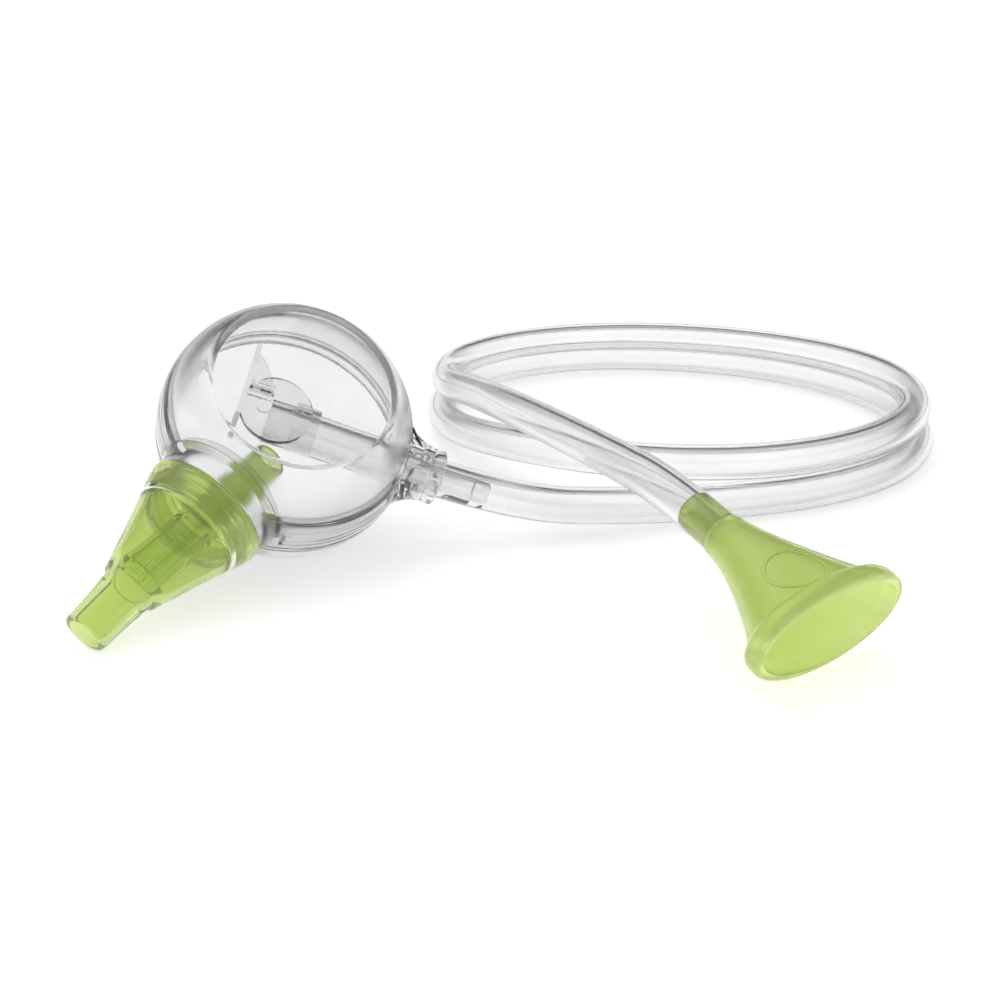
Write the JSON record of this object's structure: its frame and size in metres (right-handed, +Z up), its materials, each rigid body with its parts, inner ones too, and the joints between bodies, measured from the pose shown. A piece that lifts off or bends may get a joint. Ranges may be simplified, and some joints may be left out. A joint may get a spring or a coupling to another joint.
{
  "type": "nasal aspirator",
  "caption": "Mouth-suction nasal aspirator: ball-shaped clear chamber with a flat window, green nose cone, clear flexible hose and a flared green mouthpiece.",
  "frame": {"origin": "on the surface that the aspirator lies on, under the middle of the box round the head and the mouthpiece", "axes": "+Z up from the surface; +X from the head towards the mouthpiece; +Y towards the coiled hose"},
  "size_m": [0.1863, 0.2111, 0.0509],
  "materials": {
    "green_soft": "translucent, smooth",
    "green_plastic": "translucent, polished",
    "green_mouthpiece": "translucent, fine satin",
    "frosted_clear": "clear window, softly frosted dome",
    "clear_plastic": "clear, polished",
    "clear_silicone": "clear, smooth",
    "hose_silicone": "clear, smooth"
  },
  "bodies": {
    "hose_line": {"hose": "hose_silicone", "hose_connector": "clear_plastic"},
    "head": {"chamber_rear_shell": "clear_plastic", "chamber_seal_ring": "clear_silicone", "outlet_duct": "clear_plastic", "splash_baffle": "clear_plastic", "outlet_collar": "clear_plastic"},
    "front_cover": {"chamber_front_shell": "frosted_clear"},
    "nozzle": {"inlet_nozzle": "green_plastic"},
    "nose_tip": {"nose_cone": "green_soft"},
    "mouth_end": {"mouthpiece": "green_mouthpiece"}
  },
  "joints": [
    {"name": "head_swivel", "type": "hinge", "parent": "hose_line", "child": "head", "pos_m": [-0.01157, 0.02283, 0.01532], "axis": [0.9278, 0.0931, -0.3614], "continuous": true},
    {"name": "front_cover_pull", "type": "slide", "parent": "head", "child": "front_cover", "axis": [0.338, -0.62, 0.708], "range_m": [0, 0.03]},
    {"name": "nozzle_pull", "type": "slide", "parent": "head", "child": "nozzle", "axis": [-0.4976, -0.7776, -0.3843], "range_m": [0, 0.03]},
    {"name": "nose_cone_pull", "type": "slide", "parent": "nozzle", "child": "nose_tip", "axis": [-0.4976, -0.7776, -0.3843], "range_m": [0, 0.02]},
    {"name": "mouthpiece_pull", "type": "slide", "parent": "hose_line", "child": "mouth_end", "axis": [0.5741, -0.7582, -0.3091], "range_m": [0, 0.015]}
  ]
}
